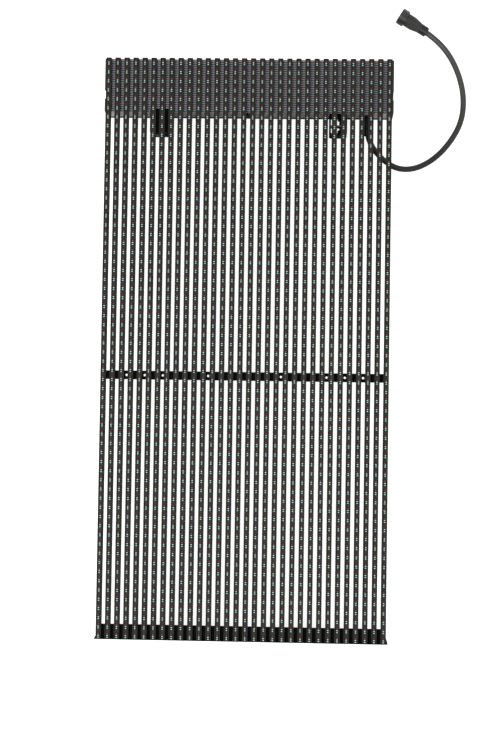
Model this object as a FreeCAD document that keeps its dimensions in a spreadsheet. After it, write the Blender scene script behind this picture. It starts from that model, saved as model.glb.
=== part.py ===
import FreeCAD, Part
import math
import os
import Sketcher

# Mesh LED screen: 32 upright lamp strips hang from a flat power box and are tied by two bars.
# The panel lies on its back. X runs across the strips, Y from the bottom rail to the box,
# Z out of the lamp side. The origin is the middle of the footprint. Millimetres.

document = FreeCAD.newDocument("MeshLedScreen")
sheet = document.addObject("Spreadsheet::Sheet", "Sizes")


class Size:
    """A number together with the spreadsheet formula that gives it."""

    def __init__(self, value, text):
        self.value = value
        self.text = text

    def __add__(self, other):
        other = as_size(other)
        return Size(self.value + other.value, f"({self.text} + {other.text})")

    def __sub__(self, other):
        other = as_size(other)
        return Size(self.value - other.value, f"({self.text} - {other.text})")

    def __mul__(self, other):
        other = as_size(other)
        return Size(self.value * other.value, f"({self.text} * {other.text})")

    def __truediv__(self, other):
        other = as_size(other)
        return Size(self.value / other.value, f"({self.text} / {other.text})")

    def __neg__(self):
        return Size(-self.value, f"(0 - {self.text})")


def as_size(number):
    """Wrap a plain number, so that it can stand in a formula."""
    if isinstance(number, Size):
        return number
    return Size(float(number), f"({number})")


# Strips and pixels
strip_count = 32  # strips across the panel
pitch = 15.625  # spacing of strips, and of pixels along a strip
panel_height = 1000  # from the rail's flange to the top of the box
strip_end_gap = 0.5  # room between a strip's upper end and the panel's end
strip_width = 9  # width of a strip
strip_depth = 12.5  # depth of a strip, back to front rim
strip_wall = 1.3  # side wall of a strip
strip_floor = 1.6  # back wall of a strip
strip_end_wall = 0.8  # end wall of a strip
strip_chamfer = 1.2  # bevel along the back edges of a strip
trough_depth = 6.5  # depth of the trough that holds the lamps
ledge = 0.8  # ledge each side that the lamp board lies on
board_thickness = 1.6  # thickness of every circuit board
fit_gap = 0.1  # room round a piece that is slid into its seat
potting_recess = 1.0  # how far the potting stays below the rim
lamp_width = 4.2  # width of the row of lamps
lamp_stand = 0.8  # how far the lamps stand proud of the rim
lamp_shoulder = 0.9  # bevel of the lamp row's crown

# Power box
box_height = 92  # height of the box along the strips
body_depth = 44  # depth of the box's extrusion
cover_depth = 14  # depth of the rear cover
box_wall = 2.5  # wall of the extrusion
groove_count = 24  # grooves between ribs on the front face
groove_width = 2.0  # width of the grooves between ribs
groove_depth = 1.5  # depth of the grooves between ribs
lip_width = 8  # width of the rear lips that the cover is screwed to
lip_depth = 5.5  # depth of the rear lips
port_side = 7  # side of the screw ports in the front corners
port_back_inset = 3  # rear screws of an end plate above the cover
plate_thickness = 4  # thickness of an end plate
notch_height = 15.6  # height of the notch in an end plate
notch_rise = 30  # middle of the notch above the box's underside
notch_reach = 18  # how far the notch reaches back from the front face
notch_depth = 2.5  # depth of the notch into the end plate
cover_rim = 9  # width of the rear cover's rim
cover_floor = 2.5  # back wall of the rear cover
cover_bevel = 1.5  # bevel round the back of the rear cover
gasket_inset = 1.2  # from the cover's outer edge to the gasket
gasket_width = 1.6  # width of the gasket
gasket_depth = 1.4  # depth of the gasket
screw_inset = 5.6  # from the cover's long edges to its screws
cover_screw_count = 4  # screws along each long edge of the cover
cover_screw_spacing = 150  # spacing of the cover's screws
screw_radius = 1.5  # shank of the box's screws
screw_head_radius = 2.75  # head of the box's screws
screw_head_height = 1.6  # height of a screw's head
screw_grip = 4.5  # thread length of the box's screws in what they hold
screw_end = 0.5  # tapped hole beyond a screw's end
thread_gap = 0.05  # room between a thread and its nut or hole

# Bars that tie the strips
bar_height = 15  # height of the bar behind the strips
bar_thickness = 3  # thickness of the bar and of the rail
bar_drop = 48.5  # middle of the bar below the middle of the panel
bar_hole_radius = 2  # radius of the bar's holes
rail_height = 25  # height of the bottom rail's web
rail_lip = 1.2  # thickness of the rail's lip that the strips' lower ends stand on
rail_lip_setback = 1  # front edge of that lip behind the strips' rims

# Bolts that hang the panel, and join it to the next one
hang_spacing = 360  # spacing of the hanging bolts
hang_level = 34  # hanging bolts above the back face
hang_hole_radius = 3.4  # tapped hole of a hanging bolt
stack_hole_radius = 4.5  # clearance hole in the rail's flange
hang_bar_end = 20  # bar inside the box beyond its bolts
hang_bar_width = 20  # width of the bar inside the box
hang_bar_thickness = 6  # thickness of the bar inside the box

# Bracket sleeves under the box
bracket_place = 155  # middle of a bracket from the panel's middle
bracket_width = 31  # width of a bracket
bracket_drop = 35  # how far a bracket hangs below the box
bracket_depth = 44  # length of a bracket from back to front
bracket_wall = 1.5  # upper and lower wall of a bracket
bracket_side = 3  # side walls of a bracket
bracket_corner = 2.5  # outer radius of a bracket's corners
bracket_inner_corner = 1  # inner radius of a bracket's corners
blind_margin = 2  # front wall of the left bracket beyond its right side wall
tongue_height = 5.5  # tongue of that front wall over the box's ribs
tongue_gap = 0.2  # room round the tongue in the ribs
stud_offset = 5.7  # stud from the bracket's middle, away from the panel's
stud_radius = 4  # radius of the stud
nut_across_flats = 13  # nut across its flats
nut_height = 6.8  # height of the upper nut
locknut_height = 8  # height of the lower nut
clamp_width = 20  # clamp plate from back to front
clamp_thickness = 2.1  # thickness of the clamp plate
clamp_drop = 17.5  # top of the clamp plate below the box
clamp_gap = 0.3  # clamp plate from the bracket's inner wall
stud_end = 1.0  # how far a stud stands out past its last nut
axis_level = 29  # studs and gland above the back face

# Vent plug and cable gland
vent_radius = 10  # head of the vent plug
vent_stand = 5.5  # how far the vent plug stands proud
vent_level = 40  # vent plug above the back face
vent_shank_radius = 5.8  # shank of the vent plug
vent_ring_radius = 6.7  # lock ring of the vent plug
vent_bevel = 1.2  # bevel round the vent plug's head
gland_place = 205  # gland from the panel's middle
gland_flange = 4  # height of the gland's hexagon
gland_across_flats = 22  # gland's hexagon across its flats
gland_neck_radius = 8  # threaded neck of the gland
gland_shank_radius = 7.8  # shank of the gland in the box wall
gland_nut_radius = 10.5  # gland nut
gland_length = 14  # gland below the box, hexagon and nut
gland_ring_radius = 9.2  # lock ring of the gland
gland_nut_rim = 2.5  # closed end of the gland nut
gland_nut_bevel = 2  # bevel of the gland nut's end
shank_gap = 0.3  # room round a shank in its hole
shank_length = 5  # shank and lock ring inside the box wall

# Lead and connector
lead_radius = 5  # radius of the lead
lead_gap = 0.15  # room round the lead where it enters a piece
coupling_radius = 14  # coupling nut between its grips
grip_count = 6  # grips round the coupling nut
grip_radius = 3.4  # radius of a grip
grip_circle = 11.4  # circle that the grips are centred on
coupling_length = 13  # length of the coupling nut
thread_radius = 12.2  # bore of the coupling nut's thread
neck_radius = 10.6  # neck that the coupling nut turns on
running_gap = 0.08  # room between the neck and the coupling nut
end_play = 0.3  # end play of the coupling nut
coupling_lip = 3  # length of the coupling nut's inner lip
keeper_radius = 11.7  # collar that keeps the coupling nut on
keeper_length = 1.5  # length of that collar
shell_radius = 10.2  # shell round the contacts
shell_wall = 0.8  # wall of that shell
insert_depth = 7  # length of the contact insert
insert_recess = 1.5  # contacts behind the shell's rim
contact_count = 5  # contact holes round the insert
contact_radius = 1.2  # radius of a contact hole
contact_circle = 5.2  # circle that the contact holes lie on
contact_depth = 4  # depth of a contact hole
body_radius = 11.6  # connector body behind the coupling nut
body_length = 30  # connector body from tail nut to coupling nut
tail_radius = 8.8  # tail nut
tail_length = 13  # length of the tail nut
tail_thread_radius = 6.8  # thread under the tail nut
tail_thread_length = 9  # length of that thread
tail_bevel = 1.5  # bevel at the end of the tail nut
shoulder_radius = 9  # connector body next to the tail nut
shoulder_length = 4  # length of that part of the body
taper_length = 12  # cone of the connector body
grip_setback = 1.5  # plain rim of the coupling nut in front of its grips
shell_length = 8.2  # shell in front of the collar
lead_start = 2  # end of the lead below the box's underside
lead_first_run = 24  # straight run of the lead out of the gland
lead_entry = 16  # how far the lead goes into the connector
lead_tail_run = 12  # straight run of the lead behind the connector
rest_gap = 0.05  # lead and connector above the floor
tail_x = 308.5  # tail of the connector, across the panel
tail_y = 561  # tail of the connector, along the panel
connector_heading = 149  # heading of the connector, degrees from +X

# Things inside the box
board_top_gap = 3.5  # room between the hanging bar and what is fixed in the box
board_low_gap = 2.7  # room between the inner nuts and what is fixed in the box
supply_length = 215  # power supply
supply_height = 26  # power supply
supply_gap = 12.5  # room between the power supply and the hub board
hub_length = 180  # hub board
hub_place = 115  # hub board right of the middle
post_height = 6  # posts under the hub board
post_radius = 3  # radius of a post
card_length = 110  # receiving card
card_margin = 6  # hub board beyond the receiving card's long edges
header_height = 8  # plug between the two boards
plug_length = 60  # plug between the two boards
plug_width = 8  # plug between the two boards
post_inset = 5  # posts from the hub board's edges
terminal_length = 18  # terminals of the power supply
terminal_height = 14  # terminals of the power supply
terminal_inset = 4  # terminals in from the power supply's sides
chip_side = 17  # chips of the receiving card
chip_height = 1.5  # chips of the receiving card
chip_spacing = 50  # chips of the receiving card

driving_names = [name for name, value in globals().items() if isinstance(value, (int, float))]
for row, name in enumerate(driving_names, 1):
    value = globals()[name]
    sheet.set(f"A{row}", name)
    sheet.set(f"B{row}", str(value))
    sheet.setAlias(f"B{row}", name)
    globals()[name] = Size(float(value), f"Sizes.{name}")
document.recompute()

# Places that follow from the sizes above
half_height = panel_height / 2
panel_width = strip_count * pitch
half_width = panel_width / 2
box_bottom = half_height - box_height
box_depth = cover_depth + body_depth
strip_length = panel_height - strip_end_gap - rail_lip
strip_middle = (rail_lip - strip_end_gap) / 2
board_level = box_depth + strip_depth - trough_depth
face_level = box_depth - groove_depth
inner_front = face_level - box_wall
inner_top = half_height - box_wall
inner_bottom = box_bottom + box_wall
inner_low = inner_bottom + nut_height + board_low_gap
inner_high = inner_top - hang_bar_thickness - board_top_gap
inner_middle = (inner_low + inner_high) / 2
body_length_x = panel_width - plate_thickness * 2
tie_half = (strip_count - 1) / 2 * pitch + strip_width / 2
bracket_bottom = box_bottom - bracket_drop
hub_level = inner_front - post_height - board_thickness
card_level = hub_level - header_height - board_thickness
lead_bore = lead_radius + lead_gap
body_end = tail_length + body_length
coupling_start = body_end + end_play / 2
mouth = body_end + coupling_lip + end_play + keeper_length + shell_length
insert_start = mouth - insert_recess - insert_depth

# Gaps between strips that show a hole of the bar, counted from the middle
BAR_HOLE_GAPS = (4, 9, 11, 13)

# Corners of the lead's route: across, along, and rise above its resting height
LEAD_POINTS = (
    (212.5, 358.0, 18.9), (231.5, 336.8, 9.9), (258.0, 320.2, 2.3), (289.5, 320.2, 0.0),
    (322.3, 336.8, 0.0), (351.0, 366.8, 0.0), (371.8, 405.5, 0.0), (375.0, 449.0, 0.0),
    (365.0, 490.8, 0.0), (346.2, 527.2, 0.1))


def vector(x, y, z):
    return FreeCAD.Vector(x, y, z)


def bind(item, **sizes):
    """Bind properties of an object to formulas; two underscores stand for a dot."""
    for name, size in sizes.items():
        item.setExpression(name.replace("__", "."), as_size(size).text)


def plane_of(body, role):
    for feature in body.Origin.OriginFeatures:
        if feature.Role == role:
            return feature
    raise ValueError(role)


def new_body(name):
    body = document.addObject("PartDesign::Body", name)
    body.Label = name
    return body


def sketch_on(body, name, role, offset=None):
    """A sketch on one of the body's own planes, moved along the plane's normal."""
    sketch = body.newObject("Sketcher::SketchObject", name)
    sketch.AttachmentSupport = [(plane_of(body, role), "")]
    sketch.MapMode = "FlatFace"
    if offset is not None:
        bind(sketch, AttachmentOffset__Base__z=offset)
    return sketch


def place_point(sketch, line, end, point):
    """Hold one point of a sketch at a distance across and up from the origin."""
    for kind, size in zip(("DistanceX", "DistanceY"), point):
        size = as_size(size)
        row = sketch.addConstraint(Sketcher.Constraint(kind, -1, 1, line, end, size.value))
        sketch.setExpression(f"Constraints[{row}]", size.text)


def polygon(sketch, points):
    """A closed outline of straight lines through the points."""
    corners = [vector(as_size(x).value, as_size(y).value, 0) for x, y in points]
    first = sketch.GeometryCount
    count = len(corners)
    for index in range(count):
        line = Part.LineSegment(corners[index], corners[(index + 1) % count])
        sketch.addGeometry(line, False)
    for index in range(count):
        following = first + (index + 1) % count
        sketch.addConstraint(Sketcher.Constraint("Coincident", first + index, 2, following, 1))
        place_point(sketch, first + index, 1, points[index])


def rectangle(sketch, left, bottom, right, top):
    polygon(sketch, [(left, bottom), (right, bottom), (right, top), (left, top)])


def circle(sketch, x, y, radius):
    centre = vector(as_size(x).value, as_size(y).value, 0)
    round_line = Part.Circle(centre, vector(0, 0, 1), as_size(radius).value)
    index = sketch.addGeometry(round_line, False)
    place_point(sketch, index, 3, (x, y))
    row = sketch.addConstraint(Sketcher.Constraint("Radius", index, as_size(radius).value))
    sketch.setExpression(f"Constraints[{row}]", as_size(radius).text)


def hexagon(sketch, x, y, across_flats):
    """Six corners at the across-flats distance over the square root of three.
    Two flats face along the sketch's first axis."""
    corner = across_flats / math.sqrt(3)
    points = []
    for step in range(6):
        turn = math.radians(60 * step + 30)
        across = round(math.cos(turn), 9)
        up = round(math.sin(turn), 9)
        points.append((as_size(x) + corner * across, as_size(y) + corner * up))
    polygon(sketch, points)


def pad(body, name, sketch, length, symmetric=False, reverse=False):
    feature = body.newObject("PartDesign::Pad", name)
    feature.Profile = sketch
    feature.SideType = "Symmetric" if symmetric else "One side"
    feature.Reversed = reverse
    bind(feature, Length=length)
    return feature


def pocket(body, name, sketch, length, symmetric=False, reverse=False):
    feature = body.newObject("PartDesign::Pocket", name)
    feature.Profile = sketch
    feature.SideType = "Symmetric" if symmetric else "One side"
    feature.Reversed = reverse
    bind(feature, Length=length)
    return feature


def pattern_along(body, name, feature, role, length, occurrences):
    """Repeat a feature in a row along one of the body's own axes."""
    row = body.newObject("PartDesign::LinearPattern", name)
    row.Originals = [feature]
    row.Direction = (plane_of(body, role), [""])
    bind(row, Length=length, Occurrences=occurrences)
    body.Tip = row
    return row


def turned(body, name, points, role="XY_Plane"):
    """A round piece about its own X axis, from an outline of length and radius."""
    sketch = sketch_on(body, name + "_outline", role)
    polygon(sketch, points)
    feature = body.newObject("PartDesign::Revolution", name)
    feature.Profile = sketch
    feature.ReferenceAxis = (plane_of(body, "X_Axis"), [""])
    return feature


def loose_profile(name, points, length, middle, turn):
    """A bar of constant section: a free sketch, turned into place and drawn out both ways."""
    sketch = document.addObject("Sketcher::SketchObject", name + "_section")
    sketch.Placement = FreeCAD.Placement(vector(0, 0, 0), turn)
    polygon(sketch, points)
    bar = document.addObject("Part::Extrusion", name)
    bar.Base = sketch
    bar.DirMode = "Normal"
    bar.Solid = True
    bar.Symmetric = True
    bind(bar, LengthFwd=length, Placement__Base__y=middle)
    return bar


def group(name, pieces):
    """Several like solids that share one node."""
    compound = document.addObject("Part::Compound", name)
    compound.Label = name
    compound.Links = pieces
    return compound


def cylinder(name, x, y, z, radius, height, turn):
    """A cylinder from a point along the direction that the turn gives to +Z."""
    item = document.addObject("Part::Cylinder", name)
    item.Placement = FreeCAD.Placement(vector(0, 0, 0), turn)
    bind(item, Radius=radius, Height=height, Placement__Base__x=x, Placement__Base__y=y,
         Placement__Base__z=z)
    return item


def block(name, x, y, z, length, width, height):
    """A rectangular block whose middle is at x and y, and whose underside is at z."""
    item = document.addObject("Part::Box", name)
    bind(item, Length=length, Width=width, Height=height,
         Placement__Base__x=as_size(x) - as_size(length) / 2,
         Placement__Base__y=as_size(y) - as_size(width) / 2, Placement__Base__z=z)
    return item


UPRIGHT = FreeCAD.Rotation()
DOWN_THE_PANEL = FreeCAD.Rotation(vector(1, 0, 0), 90)
TO_THE_RIGHT = FreeCAD.Rotation(vector(0, 1, 0), 90)
TO_THE_LEFT = FreeCAD.Rotation(vector(0, 1, 0), -90)
nodes = []


# Lamp strips: a moulded housing, the lamp board on its ledges and the potted row of lamps
def strip_place(index):
    """Strips are numbered from the left, as seen from the lamp side."""
    return (as_size(index) - (strip_count + 1) / 2) * pitch


def make_strip_housing(index):
    body = new_body(f"strip_housing_{index:02d}")
    half = strip_width / 2
    section = sketch_on(body, f"section_{index}", "XZ_Plane")
    polygon(section, [(-half, strip_chamfer), (strip_chamfer - half, 0),
                      (half - strip_chamfer, 0), (half, strip_chamfer),
                      (half, strip_depth), (-half, strip_depth)])
    pad(body, f"bar_{index}", section, strip_length, symmetric=True)
    trough_half = half - strip_wall
    reach = strip_length / 2 - strip_end_wall
    trough = sketch_on(body, f"trough_outline_{index}", "XY_Plane", strip_depth)
    rectangle(trough, -trough_half, -reach, trough_half, reach)
    pocket(body, f"trough_{index}", trough, trough_depth)
    channel_half = trough_half - ledge
    channel_reach = reach - ledge
    channel = sketch_on(body, f"channel_outline_{index}", "XY_Plane", strip_depth)
    rectangle(channel, -channel_half, -channel_reach, channel_half, channel_reach)
    pocket(body, f"channel_{index}", channel, strip_depth - strip_floor)
    bind(body, Placement__Base__x=strip_place(index), Placement__Base__y=strip_middle,
         Placement__Base__z=box_depth)
    return body


def make_lamp_board(index):
    width = strip_width - strip_wall * 2 - fit_gap * 2
    length = strip_length - strip_end_wall * 2 - fit_gap * 2
    return block(f"board_{index}", strip_place(index), strip_middle, board_level, width, length,
                 board_thickness)


def make_lamp_row(index):
    """Potting that fills the trough, with the lamps as one low crown along it."""
    half = strip_width / 2 - strip_wall - fit_gap
    crown = lamp_width / 2
    foot = strip_depth - trough_depth + board_thickness
    potting = strip_depth - potting_recess
    top = strip_depth + lamp_stand
    place = strip_place(index)
    points = [(-half, foot), (half, foot), (half, potting), (crown, potting),
              (crown, top - lamp_shoulder), (crown - lamp_shoulder, top),
              (lamp_shoulder - crown, top), (-crown, top - lamp_shoulder),
              (-crown, potting), (-half, potting)]
    row = loose_profile(f"lamps_{index}", points, strip_length - strip_end_wall * 2 - fit_gap * 2,
                        strip_middle, DOWN_THE_PANEL)
    bind(row, Placement__Base__x=place, Placement__Base__z=box_depth)
    return row


strip_numbers = range(1, int(strip_count.value) + 1)
for number in strip_numbers:
    nodes.append(make_strip_housing(number))
nodes.append(group("lamp_boards", [make_lamp_board(number) for number in strip_numbers]))
nodes.append(group("lamp_rows", [make_lamp_row(number) for number in strip_numbers]))


# Power box: an open extrusion with a ribbed front, closed by two plates and a cover
def make_box_body():
    body = new_body("box_body")
    section = sketch_on(body, "box_section", "YZ_Plane")
    lip_front = cover_depth + lip_depth
    port_back = inner_front - port_side
    top_lip = half_height - lip_width
    bottom_lip = box_bottom + lip_width
    top_port = inner_top - port_side
    bottom_port = inner_bottom + port_side
    polygon(section, [
        (box_bottom, cover_depth), (bottom_lip, cover_depth), (bottom_lip, lip_front),
        (inner_bottom, lip_front), (inner_bottom, port_back), (bottom_port, port_back),
        (bottom_port, inner_front), (top_port, inner_front), (top_port, port_back),
        (inner_top, port_back), (inner_top, lip_front), (top_lip, lip_front),
        (top_lip, cover_depth), (half_height, cover_depth), (half_height, box_depth),
        (box_bottom, box_depth)])
    pad(body, "box_extrusion", section, body_length_x, symmetric=True)
    groove_section = sketch_on(body, "groove_section", "YZ_Plane")
    rectangle(groove_section, box_bottom, face_level, box_bottom + groove_width, box_depth)
    groove = pocket(body, "groove", groove_section, body_length_x, symmetric=True)
    pattern_along(body, "grooves", groove, "Y_Axis", box_height - groove_width, groove_count)
    seat = sketch_on(body, "tongue_seat_outline", "XY_Plane", box_depth)
    left, right = blind_front_edges()
    rectangle(seat, left - tongue_gap, box_bottom, right + tongue_gap,
              box_bottom + tongue_height + tongue_gap)
    pocket(body, "tongue_seat", seat, bracket_wall)
    top_holes = sketch_on(body, "hanging_hole_outlines", "XZ_Plane", -half_height)
    for side in (-1, 1):
        circle(top_holes, hang_spacing / 2 * side, hang_level, hang_hole_radius)
    pocket(body, "hanging_holes", top_holes, box_wall, reverse=True)
    underside = sketch_on(body, "underside_hole_outlines", "XZ_Plane", -box_bottom)
    circle(underside, gland_place, axis_level, gland_shank_radius + shank_gap)
    circle(underside, 0, vent_level, vent_shank_radius + shank_gap)
    for side in (-1, 1):
        circle(underside, stud_place(side), axis_level, stud_radius + shank_gap)
    pocket(body, "underside_holes", underside, box_wall)
    tapped = sketch_on(body, "lip_hole_outlines", "XY_Plane", cover_depth)
    for x, y in cover_screw_places():
        circle(tapped, x, y, screw_radius + thread_gap)
    pocket(body, "lip_holes", tapped, screw_grip + screw_end, reverse=True)
    for side in (-1, 1):
        ports = sketch_on(body, f"port_outlines_{side + 2}", "YZ_Plane", body_length_x / 2 * side)
        for y, z in plate_screw_places():
            circle(ports, y, z, screw_radius + thread_gap)
        pocket(body, f"ports_{side + 2}", ports, screw_grip + screw_end, reverse=side < 0)
    return body


def stud_place(side):
    return (bracket_place + stud_offset) * side


def blind_front_edges():
    """Left and right edge of the left bracket's front wall."""
    half = bracket_width / 2
    return -bracket_place - half, half + blind_margin - bracket_place


def make_end_plate(name, side):
    """A plate that closes one end; its notch takes the neighbouring panel's lock."""
    body = new_body(name)
    outline = sketch_on(body, name + "_outline", "YZ_Plane", half_width * side)
    rectangle(outline, box_bottom, cover_depth, half_height, box_depth)
    pad(body, name + "_plate", outline, plate_thickness, reverse=side > 0)
    notch_middle = box_bottom + notch_rise
    notch = sketch_on(body, name + "_notch_outline", "YZ_Plane", half_width * side)
    notch_low = notch_middle - notch_height / 2
    notch_high = notch_middle + notch_height / 2
    rectangle(notch, notch_low, box_depth - notch_reach, notch_high, box_depth)
    pocket(body, name + "_notch", notch, notch_depth, reverse=side < 0)
    holes = sketch_on(body, name + "_hole_outlines", "YZ_Plane", half_width * side)
    for y, z in plate_screw_places():
        circle(holes, y, z, screw_radius + fit_gap)
    pocket(body, name + "_holes", holes, plate_thickness, reverse=side < 0)
    heads = sketch_on(body, name + "_head_outlines", "YZ_Plane", half_width * side)
    for y, z in plate_screw_places():
        circle(heads, y, z, screw_head_radius + fit_gap)
    pocket(body, name + "_head_seats", heads, screw_head_height, reverse=side < 0)
    return body


def plate_screw_places():
    """Two screws go into the ports in the front corners, two into the rear lips."""
    inset = port_side / 2
    low, high = inner_bottom + inset, inner_top - inset
    back, front = cover_depth + port_back_inset, inner_front - inset
    return [(low, back), (high, back), (low, front), (high, front)]


def cover_screw_places():
    """Screws in a row along each long edge of the cover."""
    count = int(cover_screw_count.value)
    places = []
    for step in range(count):
        x = cover_screw_spacing * (step - (count - 1) / 2)
        places.append((x, box_bottom + screw_inset))
        places.append((x, half_height - screw_inset))
    return places


def make_rear_cover():
    body = new_body("rear_cover")
    outline = sketch_on(body, "cover_outline", "XY_Plane")
    rectangle(outline, -half_width, box_bottom, half_width, half_height)
    slab = pad(body, "cover_slab", outline, cover_depth)
    document.recompute()
    back_edges = [f"Edge{number}" for number, edge in enumerate(slab.Shape.Edges, 1)
                  if edge.BoundBox.ZMax < 0.001]
    bevel = body.newObject("PartDesign::Chamfer", "cover_bevel")
    bevel.Base = (slab, back_edges)
    bind(bevel, Size=cover_bevel)
    hollow = sketch_on(body, "cover_hollow_outline", "XY_Plane", cover_depth)
    rectangle(hollow, cover_rim - half_width, box_bottom + cover_rim,
              half_width - cover_rim, half_height - cover_rim)
    pocket(body, "cover_hollow", hollow, cover_depth - cover_floor)
    groove = sketch_on(body, "gasket_groove_outline", "XY_Plane", cover_depth)
    frame_outline(groove, gasket_inset, gasket_width)
    pocket(body, "gasket_groove", groove, gasket_depth)
    holes = sketch_on(body, "cover_hole_outlines", "XY_Plane", cover_depth)
    heads = sketch_on(body, "cover_head_outlines", "XY_Plane")
    for x, y in cover_screw_places():
        circle(holes, x, y, screw_radius + fit_gap)
        circle(heads, x, y, screw_head_radius + fit_gap)
    pocket(body, "cover_holes", holes, cover_depth)
    pocket(body, "cover_head_seats", heads, screw_head_height, reverse=True)
    return body


def frame_outline(sketch, inset, width):
    """Two rectangles that follow the cover's edge, one inside the other."""
    for step in (inset, inset + width):
        rectangle(sketch, step - half_width, box_bottom + step,
                  half_width - step, half_height - step)


def make_cover_gasket():
    body = new_body("cover_gasket")
    outline = sketch_on(body, "gasket_outline", "XY_Plane", cover_depth - gasket_depth)
    frame_outline(outline, gasket_inset, gasket_width)
    pad(body, "gasket_ring", outline, gasket_depth)
    return body


def make_screw(name, x, y, z, turn, length):
    """A low round head sunk flush with the face, and the shank behind it."""
    head = cylinder(name + "_head", x, y, z, screw_head_radius, screw_head_height, turn)
    shank = cylinder(name + "_shank", x, y, z, screw_radius, length, turn)
    screw = document.addObject("Part::Fuse", name)
    screw.Base = head
    screw.Tool = shank
    return screw


def make_cover_screws():
    screws = []
    for number, (x, y) in enumerate(cover_screw_places(), 1):
        screws.append(make_screw(f"cover_screw_{number}", x, y, 0, UPRIGHT,
                                 cover_depth + screw_grip))
    return group("cover_screws", screws)


def make_plate_screws():
    screws = []
    for side, inward in ((-1, TO_THE_RIGHT), (1, TO_THE_LEFT)):
        for number, (y, z) in enumerate(plate_screw_places(), 1):
            screws.append(make_screw(f"plate_screw_{side + 2}_{number}", half_width * side, y, z,
                                     inward, plate_thickness + screw_grip))
    return group("end_plate_screws", screws)


nodes.append(make_box_body())
nodes.append(make_end_plate("end_plate_left", -1))
nodes.append(make_end_plate("end_plate_right", 1))
nodes.append(make_rear_cover())
nodes.append(make_cover_gasket())
nodes.append(make_cover_screws())
nodes.append(make_plate_screws())


# Bars: one behind the middle of the strips, one behind their lower ends, one inside the box
def make_mid_bar():
    body = new_body("mid_bar")
    outline = sketch_on(body, "mid_bar_outline", "XY_Plane", box_depth - bar_thickness)
    rectangle(outline, -tie_half, -bar_drop - bar_height / 2, tie_half, bar_height / 2 - bar_drop)
    for gap in BAR_HOLE_GAPS:
        for side in (-1, 1):
            circle(outline, pitch * (gap * side), -bar_drop, bar_hole_radius)
    pad(body, "mid_bar_strip", outline, bar_thickness)
    return body


def make_bottom_rail():
    """The web ties the strips, the flange stands on the back and meets the next panel, and a
    thin lip in front of the flange carries the strips' lower ends."""
    body = new_body("bottom_rail")
    flange = sketch_on(body, "rail_flange_outline", "XZ_Plane", half_height)
    rectangle(flange, -half_width, 0, half_width, box_depth)
    for side in (-1, 1):
        circle(flange, hang_spacing / 2 * side, hang_level, stack_hole_radius)
    pad(body, "rail_flange", flange, bar_thickness, reverse=True)
    web = sketch_on(body, "rail_web_outline", "XY_Plane", box_depth - bar_thickness)
    rectangle(web, -tie_half, bar_thickness - half_height, tie_half, rail_height - half_height)
    pad(body, "rail_web", web, bar_thickness)
    lip = sketch_on(body, "rail_lip_outline", "XZ_Plane", half_height)
    rectangle(lip, -half_width, box_depth - bar_thickness, half_width,
              box_depth + strip_depth - rail_lip_setback)
    pad(body, "rail_lip", lip, rail_lip, reverse=True)
    return body


def make_hang_bar():
    body = new_body("hang_bar")
    outline = sketch_on(body, "hang_bar_outline", "XZ_Plane", -inner_top)
    low, high = hang_level - hang_bar_width / 2, hang_level + hang_bar_width / 2
    reach = hang_spacing / 2 + hang_bar_end
    rectangle(outline, -reach, low, reach, high)
    for side in (-1, 1):
        circle(outline, hang_spacing / 2 * side, hang_level, hang_hole_radius)
    pad(body, "hang_bar_strip", outline, hang_bar_thickness)
    return body


nodes.append(make_mid_bar())
nodes.append(make_bottom_rail())
nodes.append(make_hang_bar())


# Inside the box: everything is fixed to the inner side of the front wall
def make_power_supply():
    body = new_body("power_supply")
    right = hub_place - hub_length / 2 - supply_gap
    left = right - supply_length
    outline = sketch_on(body, "supply_outline", "XY_Plane", inner_front - supply_height)
    rectangle(outline, left, inner_low, right - terminal_length, inner_high)
    pad(body, "supply_case", outline, supply_height)
    terminals = sketch_on(body, "terminal_outline", "XY_Plane", inner_front - terminal_height)
    rectangle(terminals, right - terminal_length, inner_low + terminal_inset, right,
              inner_high - terminal_inset)
    pad(body, "terminals", terminals, terminal_height)
    return body


def make_hub_board():
    """Four posts hold it off the wall; a plug on its back carries the receiving card."""
    body = new_body("hub_board")
    half_length = hub_length / 2
    board = sketch_on(body, "hub_outline", "XY_Plane", hub_level)
    rectangle(board, hub_place - half_length, inner_low, hub_place + half_length, inner_high)
    pad(body, "hub_plate", board, board_thickness)
    posts = sketch_on(body, "post_outlines", "XY_Plane", hub_level + board_thickness)
    for side in (-1, 1):
        across = hub_place + (half_length - post_inset) * side
        circle(posts, across, inner_low + post_inset, post_radius)
        circle(posts, across, inner_high - post_inset, post_radius)
    pad(body, "posts", posts, post_height)
    plug = sketch_on(body, "plug_outline", "XY_Plane", hub_level)
    rectangle(plug, hub_place - plug_length / 2, inner_middle - plug_width / 2,
              hub_place + plug_length / 2, inner_middle + plug_width / 2)
    pad(body, "plug", plug, header_height, reverse=True)
    return body


def make_receiving_card():
    body = new_body("receiving_card")
    board = sketch_on(body, "card_outline", "XY_Plane", card_level)
    rectangle(board, hub_place - card_length / 2, inner_low + card_margin,
              hub_place + card_length / 2, inner_high - card_margin)
    pad(body, "card_plate", board, board_thickness)
    chips = sketch_on(body, "chip_outlines", "XY_Plane", card_level)
    for step in (-1, 1):
        middle = hub_place + chip_spacing / 2 * step
        rectangle(chips, middle - chip_side / 2, inner_middle - chip_side / 2,
                  middle + chip_side / 2, inner_middle + chip_side / 2)
    pad(body, "chips", chips, chip_height, reverse=True)
    return body


nodes.append(make_power_supply())
nodes.append(make_hub_board())
nodes.append(make_receiving_card())


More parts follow.
